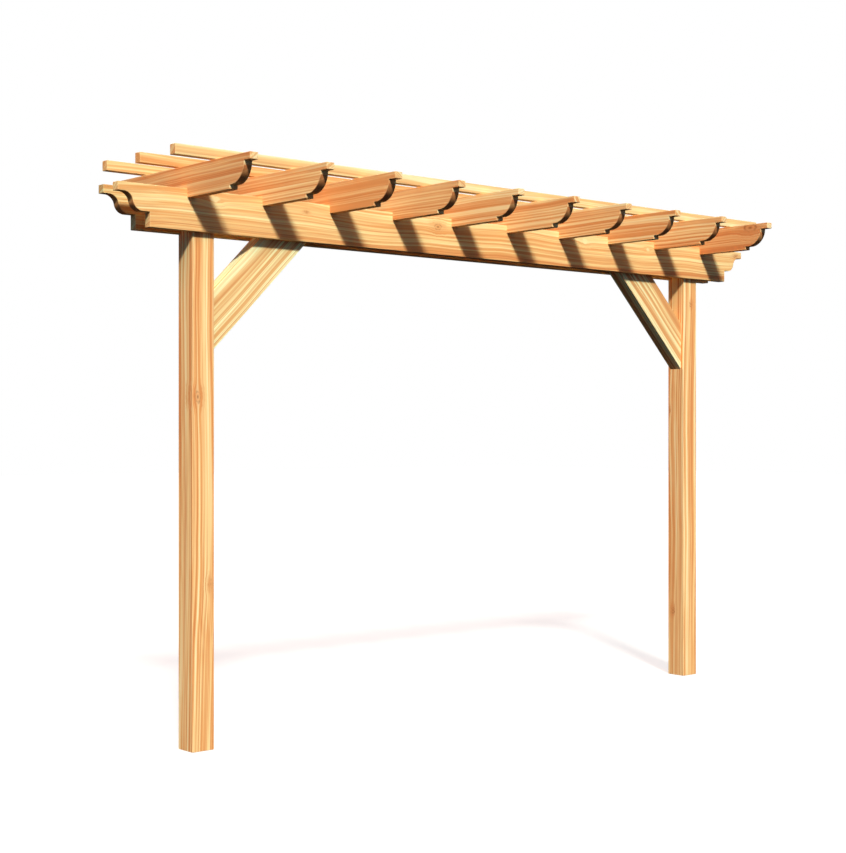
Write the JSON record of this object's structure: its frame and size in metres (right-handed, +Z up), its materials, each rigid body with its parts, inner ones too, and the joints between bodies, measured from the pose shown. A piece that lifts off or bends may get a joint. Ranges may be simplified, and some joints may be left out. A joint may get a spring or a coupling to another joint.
{
  "type": "pergola",
  "caption": "Wooden pergola on a single row of posts, with paired scroll-ended beams, notched rafters, top slats and broad knee braces.",
  "frame": {"origin": "middle of the left post's foot, at ground level", "axes": "+X along the beams from the left post to the right post, +Y to the back, +Z up"},
  "size_m": [4.451, 1.184, 2.768],
  "materials": {
    "post_timber": "matte",
    "brace_timber": "matte",
    "beam_timber": "matte",
    "rafter_timber": "matte",
    "slat_timber": "matte"
  },
  "bodies": {
    "root": {"left_post": "post_timber", "right_post": "post_timber", "left_brace": "brace_timber", "right_brace": "brace_timber", "front_beam": "beam_timber", "back_beam": "beam_timber", "rafter_1": "rafter_timber", "rafter_2": "rafter_timber", "rafter_3": "rafter_timber", "rafter_4": "rafter_timber", "rafter_5": "rafter_timber", "rafter_6": "rafter_timber", "rafter_7": "rafter_timber", "rafter_8": "rafter_timber", "rafter_9": "rafter_timber", "rafter_10": "rafter_timber", "front_slat": "slat_timber", "middle_slat": "slat_timber", "back_slat": "slat_timber"}
  },
  "joints": []
}
